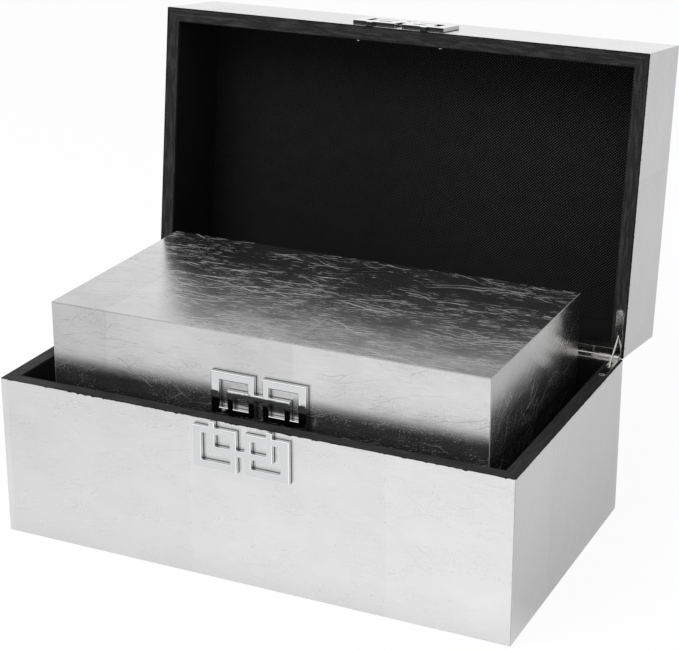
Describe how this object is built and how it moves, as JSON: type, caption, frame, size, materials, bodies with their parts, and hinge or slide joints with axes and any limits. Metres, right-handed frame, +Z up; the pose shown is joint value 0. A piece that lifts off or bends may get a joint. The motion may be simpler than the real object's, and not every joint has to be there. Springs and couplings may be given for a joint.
{
  "type": "wedding card box",
  "caption": "Nested pair of lidded silver-leaf boxes with dark rims, black cloth lining, cast fret plates at the seams and stay hinges, for holding wedding cards.",
  "frame": {"origin": "middle of the outer box's underside, on the surface that it stands on", "axes": "+X to the right along the box's width, +Y to the back where the hinges are, +Z up"},
  "size_m": [0.4, 0.3374, 0.3535],
  "materials": {
    "outer_silver_leaf": "satin silver leaf under lacquer on fibreboard, rims painted matt dark grey",
    "inner_silver_leaf": "bright silver leaf under gloss lacquer on fibreboard, rims painted matt dark grey",
    "lining_cloth": "black woven cloth on card",
    "fret_chrome": "chrome-plated casting, polished",
    "hinge_nickel": "nickel-plated steel",
    "screw_steel": "bright plated steel"
  },
  "bodies": {
    "inner_base": {"inner_base_back_wall": "inner_silver_leaf", "inner_base_bottom_panel": "inner_silver_leaf", "inner_base_floor_lining": "lining_cloth", "inner_base_fret_plate": "fret_chrome", "inner_base_front_wall": "inner_silver_leaf", "inner_base_hinge_screws": "screw_steel", "inner_base_left_hinge_leaf": "hinge_nickel", "inner_base_left_side_wall": "inner_silver_leaf", "inner_base_plate_screws": "screw_steel", "inner_base_right_hinge_leaf": "hinge_nickel", "inner_base_right_side_wall": "inner_silver_leaf", "inner_base_wall_lining": "lining_cloth", "inner_left_hinge_pin": "hinge_nickel", "inner_right_hinge_pin": "hinge_nickel"},
    "inner_stays": {"inner_left_stay_arm": "hinge_nickel", "inner_right_stay_arm": "hinge_nickel"},
    "inner_lid": {"inner_lid_back_wall": "inner_silver_leaf", "inner_lid_fret_plate": "fret_chrome", "inner_lid_front_wall": "inner_silver_leaf", "inner_lid_hinge_screws": "screw_steel", "inner_lid_left_hinge_leaf": "hinge_nickel", "inner_lid_left_side_wall": "inner_silver_leaf", "inner_lid_plate_screws": "screw_steel", "inner_lid_right_hinge_leaf": "hinge_nickel", "inner_lid_right_side_wall": "inner_silver_leaf", "inner_lid_top_lining": "lining_cloth", "inner_lid_top_panel": "inner_silver_leaf", "inner_lid_wall_lining": "lining_cloth"},
    "outer_base": {"outer_base_back_wall": "outer_silver_leaf", "outer_base_bottom_panel": "outer_silver_leaf", "outer_base_floor_lining": "lining_cloth", "outer_base_fret_plate": "fret_chrome", "outer_base_front_wall": "outer_silver_leaf", "outer_base_hinge_screws": "screw_steel", "outer_base_left_hinge_leaf": "hinge_nickel", "outer_base_left_side_wall": "outer_silver_leaf", "outer_base_plate_screws": "screw_steel", "outer_base_right_hinge_leaf": "hinge_nickel", "outer_base_right_side_wall": "outer_silver_leaf", "outer_base_wall_lining": "lining_cloth", "outer_left_hinge_pin": "hinge_nickel", "outer_right_hinge_pin": "hinge_nickel"},
    "outer_stays": {"outer_left_stay_arm": "hinge_nickel", "outer_right_stay_arm": "hinge_nickel"},
    "outer_lid": {"outer_lid_back_wall": "outer_silver_leaf", "outer_lid_fret_plate": "fret_chrome", "outer_lid_front_wall": "outer_silver_leaf", "outer_lid_hinge_screws": "screw_steel", "outer_lid_left_hinge_leaf": "hinge_nickel", "outer_lid_left_side_wall": "outer_silver_leaf", "outer_lid_plate_screws": "screw_steel", "outer_lid_right_hinge_leaf": "hinge_nickel", "outer_lid_right_side_wall": "outer_silver_leaf", "outer_lid_top_lining": "lining_cloth", "outer_lid_top_panel": "outer_silver_leaf", "outer_lid_wall_lining": "lining_cloth"}
  },
  "joints": [
    {"name": "outer_lid_hinge", "type": "hinge", "parent": "outer_base", "child": "outer_lid", "pos_m": [0, 0.114, 0.1233], "axis": [1, 0, 0], "range_deg": [0, 97]},
    {"name": "outer_stay_swing", "type": "hinge", "parent": "outer_base", "child": "outer_stays", "pos_m": [0, 0.114, 0.1233], "axis": [1, 0, 0], "range_deg": [0, 48.5]},
    {"name": "inner_box_lift", "type": "slide", "parent": "outer_base", "child": "inner_base", "axis": [0, 0, 1], "range_m": [0, 0.5]},
    {"name": "inner_lid_hinge", "type": "hinge", "parent": "inner_base", "child": "inner_lid", "pos_m": [0, 0.0948, 0.1127], "axis": [-1, 0, 0], "range_deg": [0, 97]},
    {"name": "inner_stay_swing", "type": "hinge", "parent": "inner_base", "child": "inner_stays", "pos_m": [0, 0.0948, 0.1127], "axis": [-1, 0, 0], "range_deg": [0, 48.5]}
  ],
  "couplings": [
    {"joint": "outer_stay_swing", "follows": "outer_lid_hinge", "ratio": 0.5},
    {"joint": "inner_lid_hinge", "follows": "inner_box_lift", "rad_per_m": 3.3859},
    {"joint": "inner_stay_swing", "follows": "inner_box_lift", "rad_per_m": 1.6929}
  ]
}
